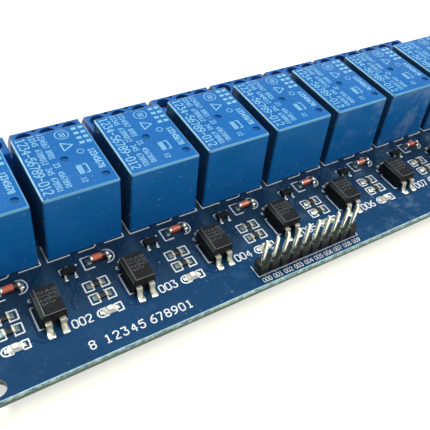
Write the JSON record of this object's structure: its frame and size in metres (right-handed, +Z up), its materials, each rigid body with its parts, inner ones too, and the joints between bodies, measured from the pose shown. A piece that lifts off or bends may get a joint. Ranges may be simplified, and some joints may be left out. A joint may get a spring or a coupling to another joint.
{
  "type": "relay module board",
  "caption": "Circuit board with a row of sealed relays, screw terminal blocks behind them and opto-isolated drive parts with a pin header in front.",
  "frame": {"origin": "middle of the board in plan, at the tips of the longest pin tails, on which the board stands", "axes": "+X along the row of relays, +Y from the pin header to the screw terminals, +Z up out of the component side"},
  "size_m": [0.138, 0.053, 0.019],
  "materials": {
    "board_laminate": "glossy blue solder mask over glass fibre laminate",
    "relay_case": "moulded blue plastic, semi-gloss",
    "relay_base": "moulded plastic with potting",
    "terminal_housing": "moulded blue plastic",
    "magnet_iron": "plated soft iron",
    "bobbin": "natural nylon",
    "winding": "enamelled copper wire",
    "contact_brass": "brass strip",
    "tinned_lead": "tinned metal",
    "clamp_screw": "zinc plated steel",
    "moulding_compound": "black moulding compound",
    "diode_glass": "orange glass with a dark band",
    "resistor_film": "black glaze with a plain printed mark",
    "led_body": "white chip lamp with clear resin",
    "header_carrier": "black moulded plastic",
    "header_pin": "bright plated square pin",
    "solder": "solder"
  },
  "bodies": {
    "board": {"circuit_board": "board_laminate", "relay_case_1": "relay_case", "relay_case_2": "relay_case", "relay_case_3": "relay_case", "relay_case_4": "relay_case", "relay_case_5": "relay_case", "relay_case_6": "relay_case", "relay_case_7": "relay_case", "relay_case_8": "relay_case", "relay_base_1": "relay_base", "relay_base_2": "relay_base", "relay_base_3": "relay_base", "relay_base_4": "relay_base", "relay_base_5": "relay_base", "relay_base_6": "relay_base", "relay_base_7": "relay_base", "relay_base_8": "relay_base", "relay_bobbins": "bobbin", "relay_windings": "winding", "relay_cores": "magnet_iron", "relay_yokes": "magnet_iron", "relay_fixed_contacts": "contact_brass", "relay_pins": "tinned_lead", "terminal_block_1": "terminal_housing", "terminal_block_2": "terminal_housing", "terminal_block_3": "terminal_housing", "terminal_block_4": "terminal_housing", "terminal_block_5": "terminal_housing", "terminal_block_6": "terminal_housing", "terminal_block_7": "terminal_housing", "terminal_block_8": "terminal_housing", "terminal_screws": "clamp_screw", "terminal_clamps": "contact_brass", "terminal_pins": "tinned_lead", "optocouplers": "moulding_compound", "optocoupler_leads": "tinned_lead", "transistors": "moulding_compound", "transistor_leads": "tinned_lead", "diodes": "diode_glass", "diode_caps": "tinned_lead", "resistors": "resistor_film", "resistor_caps": "tinned_lead", "leds": "led_body", "led_caps": "tinned_lead", "header_carrier": "header_carrier", "header_pins": "header_pin", "supply_carrier": "header_carrier", "supply_pins": "header_pin", "jumper_cap": "header_carrier", "jumper_contact": "contact_brass", "solder_joints": "solder"},
    "armature_1": {"relay_armature_1": "magnet_iron"},
    "armature_2": {"relay_armature_2": "magnet_iron"},
    "armature_3": {"relay_armature_3": "magnet_iron"},
    "armature_4": {"relay_armature_4": "magnet_iron"},
    "armature_5": {"relay_armature_5": "magnet_iron"},
    "armature_6": {"relay_armature_6": "magnet_iron"},
    "armature_7": {"relay_armature_7": "magnet_iron"},
    "armature_8": {"relay_armature_8": "magnet_iron"}
  },
  "joints": [
    {"name": "armature_1_pull", "type": "hinge", "parent": "board", "child": "armature_1", "pos_m": [-0.0595, -0.0015, 0.01467], "axis": [-1, 0, 0], "range_deg": [0, 3], "stiffness_Nm_per_rad": 0.004, "springref_deg": -22.92},
    {"name": "armature_2_pull", "type": "hinge", "parent": "board", "child": "armature_2", "pos_m": [-0.0425, -0.0015, 0.01467], "axis": [-1, 0, 0], "range_deg": [0, 3], "stiffness_Nm_per_rad": 0.004, "springref_deg": -22.92},
    {"name": "armature_3_pull", "type": "hinge", "parent": "board", "child": "armature_3", "pos_m": [-0.0255, -0.0015, 0.01467], "axis": [-1, 0, 0], "range_deg": [0, 3], "stiffness_Nm_per_rad": 0.004, "springref_deg": -22.92},
    {"name": "armature_4_pull", "type": "hinge", "parent": "board", "child": "armature_4", "pos_m": [-0.0085, -0.0015, 0.01467], "axis": [-1, 0, 0], "range_deg": [0, 3], "stiffness_Nm_per_rad": 0.004, "springref_deg": -22.92},
    {"name": "armature_5_pull", "type": "hinge", "parent": "board", "child": "armature_5", "pos_m": [0.0085, -0.0015, 0.01467], "axis": [-1, 0, 0], "range_deg": [0, 3], "stiffness_Nm_per_rad": 0.004, "springref_deg": -22.92},
    {"name": "armature_6_pull", "type": "hinge", "parent": "board", "child": "armature_6", "pos_m": [0.0255, -0.0015, 0.01467], "axis": [-1, 0, 0], "range_deg": [0, 3], "stiffness_Nm_per_rad": 0.004, "springref_deg": -22.92},
    {"name": "armature_7_pull", "type": "hinge", "parent": "board", "child": "armature_7", "pos_m": [0.0425, -0.0015, 0.01467], "axis": [-1, 0, 0], "range_deg": [0, 3], "stiffness_Nm_per_rad": 0.004, "springref_deg": -22.92},
    {"name": "armature_8_pull", "type": "hinge", "parent": "board", "child": "armature_8", "pos_m": [0.0595, -0.0015, 0.01467], "axis": [-1, 0, 0], "range_deg": [0, 3], "stiffness_Nm_per_rad": 0.004, "springref_deg": -22.92}
  ]
}
